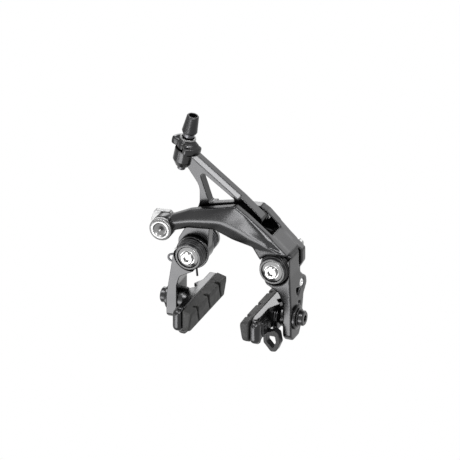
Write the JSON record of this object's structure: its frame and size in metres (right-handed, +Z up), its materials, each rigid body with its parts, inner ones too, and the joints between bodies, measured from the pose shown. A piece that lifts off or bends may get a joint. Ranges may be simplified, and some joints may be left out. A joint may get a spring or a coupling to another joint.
{
  "type": "bicycle rim brake caliper",
  "caption": "Direct-mount rim brake caliper: two coupled pivoting arms on frame bolts, with brake shoes, a barrel adjuster and a cable anchor.",
  "frame": {"origin": "on the mounting plane, midway between the axes of the two mounting bolts", "axes": "+X the viewer's right seen from the front, +Y back into the frame along the mounting bolts, +Z up"},
  "size_m": [0.0986, 0.069, 0.1391],
  "materials": {
    "black_alloy": "satin black",
    "black_plastic": "satin",
    "polished_steel": "polished",
    "black_steel": "black oxide",
    "spring_steel": "black steel wire",
    "bearing_plastic": "matt",
    "pad_rubber": "matt"
  },
  "bodies": {
    "mount": {"mounting_bolt_left": "polished_steel", "flange_washer_left": "polished_steel", "pivot_cap_left": "black_plastic", "pivot_sleeve_left": "polished_steel", "rear_spacer_left": "polished_steel", "mounting_bolt_right": "polished_steel", "flange_washer_right": "polished_steel", "pivot_cap_right": "black_plastic", "pivot_sleeve_right": "polished_steel", "rear_spacer_right": "polished_steel", "return_spring": "spring_steel"},
    "anchor_arm_body": {"anchor_arm": "black_alloy", "pivot_bush_right": "bearing_plastic", "anchor_bolt": "polished_steel", "cable_clamp_plate": "polished_steel", "anchor_nut": "polished_steel"},
    "stop_arm_body": {"stop_arm": "black_alloy", "pivot_bush_left": "bearing_plastic", "roller_pin": "polished_steel"},
    "roller": {"coupling_roller": "bearing_plastic"},
    "nut": {"adjuster_nut": "black_alloy", "adjuster_ring": "polished_steel"},
    "stem": {"adjuster_stem": "black_alloy", "housing_ferrule": "black_plastic"},
    "shoe_right": {"pad_holder_right": "black_alloy", "pad_insert_right": "pad_rubber", "insert_screw_right": "polished_steel", "inner_dish_right": "black_steel", "inner_washer_right": "black_steel", "outer_washer_right": "black_steel", "outer_dish_right": "black_steel", "pad_bolt_right": "polished_steel", "wheel_guide_right": "black_plastic"},
    "shoe_left": {"pad_holder_left": "black_alloy", "pad_insert_left": "pad_rubber", "insert_screw_left": "polished_steel", "inner_dish_left": "black_steel", "inner_washer_left": "black_steel", "outer_washer_left": "black_steel", "outer_dish_left": "black_steel", "pad_bolt_left": "polished_steel", "wheel_guide_left": "black_plastic"},
    "trim_screw": {"centring_screw": "polished_steel"}
  },
  "joints": [
    {"name": "anchor_arm_pivot", "type": "hinge", "parent": "mount", "child": "anchor_arm_body", "pos_m": [0.027, -0.015, 0], "axis": [0, 1, 0], "range_deg": [-2, 6]},
    {"name": "stop_arm_pivot", "type": "hinge", "parent": "mount", "child": "stop_arm_body", "pos_m": [-0.027, -0.015, 0], "axis": [0, 1, 0], "range_deg": [-6, 2], "stiffness_Nm_per_rad": 0.5, "deforming": ["return_spring"]},
    {"name": "roller_spin", "type": "hinge", "parent": "stop_arm_body", "child": "roller", "pos_m": [0.0142, -0.01, 0.0266], "axis": [0, 1, 0], "continuous": true},
    {"name": "nut_turn", "type": "hinge", "parent": "stop_arm_body", "child": "nut", "pos_m": [-0.03297, -0.019, 0.0686], "axis": [0.2079, 0, 0.9781], "range_deg": [-540, 540]},
    {"name": "stem_slide", "type": "slide", "parent": "stop_arm_body", "child": "stem", "axis": [0.2079, 0, 0.9781], "range_m": [-0.0015, 0.0015]},
    {"name": "shoe_right_slide", "type": "slide", "parent": "anchor_arm_body", "child": "shoe_right", "axis": [0, 0, 1], "range_m": [-0.0025, 0.0025]},
    {"name": "shoe_left_slide", "type": "slide", "parent": "stop_arm_body", "child": "shoe_left", "axis": [0, 0, 1], "range_m": [-0.0025, 0.0025]},
    {"name": "trim_screw_turn", "type": "hinge", "parent": "anchor_arm_body", "child": "trim_screw", "pos_m": [0.0363, -0.0115, -0.01435], "axis": [1, 0, 0], "range_deg": [-360, 360]}
  ],
  "couplings": [
    {"joint": "stop_arm_pivot", "follows": "anchor_arm_pivot", "ratio": -1},
    {"joint": "stem_slide", "follows": "nut_turn", "m_per_rad": -0.000159}
  ]
}
